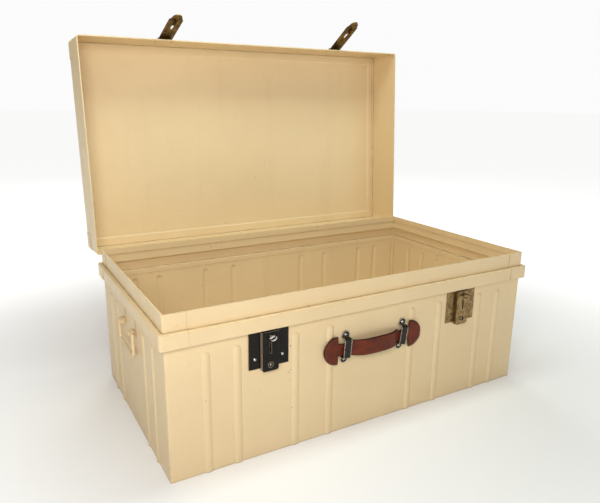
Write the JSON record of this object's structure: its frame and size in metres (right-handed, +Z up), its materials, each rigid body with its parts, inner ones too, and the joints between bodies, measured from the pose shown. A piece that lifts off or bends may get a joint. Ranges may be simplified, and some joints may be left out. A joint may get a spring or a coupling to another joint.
{
  "type": "steel footlocker",
  "caption": "Steel footlocker with ribbed walls, a hinged lid, hasp locks with turn loops, a leather front handle and wire drop handles at the ends.",
  "frame": {"origin": "centre of the base's underside", "axes": "+X along the length to the right as seen from the front, -Y towards the front with the locks, +Z up"},
  "size_m": [0.8254, 0.606, 0.7942],
  "materials": {
    "cream_paint": "satin, slightly aged",
    "black_lacquer": "gloss, worn",
    "bronzed_steel": "satin, tarnished",
    "aged_brass": "satin, aged",
    "bright_steel": "polished, slightly dull",
    "black_steel": "semi-gloss, worn at the bends",
    "leather": "satin, darkened edges"
  },
  "bodies": {
    "chest": {"base_pan": "cream_paint", "front_wall": "cream_paint", "back_wall": "cream_paint", "left_wall": "cream_paint", "right_wall": "cream_paint", "rim_front": "cream_paint", "rim_back": "cream_paint", "rim_left": "cream_paint", "rim_right": "cream_paint", "rim_corner_front_left": "cream_paint", "rim_corner_front_right": "cream_paint", "rim_corner_back_left": "cream_paint", "rim_corner_back_right": "cream_paint", "corner_angles": "cream_paint", "hinge_pins": "bright_steel", "rim_rivets": "cream_paint", "lock_rivets": "bright_steel", "lock_posts": "bright_steel", "handle_rivets": "bright_steel", "side_handle_rivets": "cream_paint", "hinge_rivets_chest": "cream_paint", "lock_plate_left": "black_lacquer", "lock_plate_right": "bronzed_steel", "lock_case_left": "black_lacquer", "lock_case_right": "bronzed_steel", "bolt_spring_left": "bright_steel", "bolt_spring_right": "bright_steel", "handle_loop_left": "black_steel", "handle_loop_right": "black_steel", "side_saddles_left": "cream_paint", "side_saddles_right": "cream_paint", "hinge_leaf_chest_left": "cream_paint", "hinge_leaf_chest_right": "cream_paint"},
    "lid": {"lid_top": "cream_paint", "lid_front": "cream_paint", "lid_back": "cream_paint", "lid_end_left": "cream_paint", "lid_end_right": "cream_paint", "lid_corner_front_left": "cream_paint", "lid_corner_front_right": "cream_paint", "lid_corner_back_left": "cream_paint", "lid_corner_back_right": "cream_paint", "hasp_leaf_left": "aged_brass", "hasp_leaf_right": "aged_brass", "hasp_pins": "aged_brass", "hasp_rivets": "aged_brass", "hinge_leaf_lid_left": "cream_paint", "hinge_leaf_lid_right": "cream_paint", "hinge_rivets_lid": "cream_paint"},
    "hasp_left": {"hasp_left": "aged_brass", "hasp_tongue_left": "aged_brass"},
    "turn_loop_left": {"turn_loop_left": "bright_steel"},
    "lock_bolt_left": {"lock_bolt_left": "bright_steel"},
    "side_bail_left": {"side_bail_left": "cream_paint"},
    "hasp_right": {"hasp_right": "aged_brass", "hasp_tongue_right": "aged_brass"},
    "turn_loop_right": {"turn_loop_right": "bronzed_steel"},
    "lock_bolt_right": {"lock_bolt_right": "bright_steel"},
    "side_bail_right": {"side_bail_right": "cream_paint"},
    "front_handle": {"front_handle": "leather"}
  },
  "joints": [
    {"name": "lid_hinge", "type": "hinge", "parent": "chest", "child": "lid", "pos_m": [0, 0.237, 0.27], "axis": [1, 0, 0], "range_deg": [0, 93.5]},
    {"name": "hasp_left_hinge", "type": "hinge", "parent": "lid", "child": "hasp_left", "pos_m": [-0.22, 0.28158, 0.73675], "axis": [-1, 0, 0], "range_deg": [-17.5, 152.5]},
    {"name": "hasp_right_hinge", "type": "hinge", "parent": "lid", "child": "hasp_right", "pos_m": [0.224, 0.28158, 0.73675], "axis": [-1, 0, 0], "range_deg": [-28, 142]},
    {"name": "turn_loop_left_swivel", "type": "hinge", "parent": "chest", "child": "turn_loop_left", "pos_m": [-0.22, -0.2285, 0.2275], "axis": [0, 1, 0], "range_deg": [-66, 24]},
    {"name": "turn_loop_right_swivel", "type": "hinge", "parent": "chest", "child": "turn_loop_right", "pos_m": [0.224, -0.2285, 0.2275], "axis": [0, 1, 0], "range_deg": [-66, 24]},
    {"name": "lock_bolt_left_slide", "type": "slide", "parent": "chest", "child": "lock_bolt_left", "axis": [1, 0, 0], "range_m": [0, 0.007]},
    {"name": "lock_bolt_right_slide", "type": "slide", "parent": "chest", "child": "lock_bolt_right", "axis": [1, 0, 0], "range_m": [0, 0.007]},
    {"name": "side_bail_left_swing", "type": "hinge", "parent": "chest", "child": "side_bail_left", "pos_m": [-0.4075, 0, 0.199], "axis": [0, 1, 0], "range_deg": [0, 90]},
    {"name": "side_bail_right_swing", "type": "hinge", "parent": "chest", "child": "side_bail_right", "pos_m": [0.4075, 0, 0.199], "axis": [0, -1, 0], "range_deg": [0, 90]},
    {"name": "front_handle_slack", "type": "slide", "parent": "chest", "child": "front_handle", "axis": [0, -1, 0], "range_m": [0, 0.003]}
  ]
}
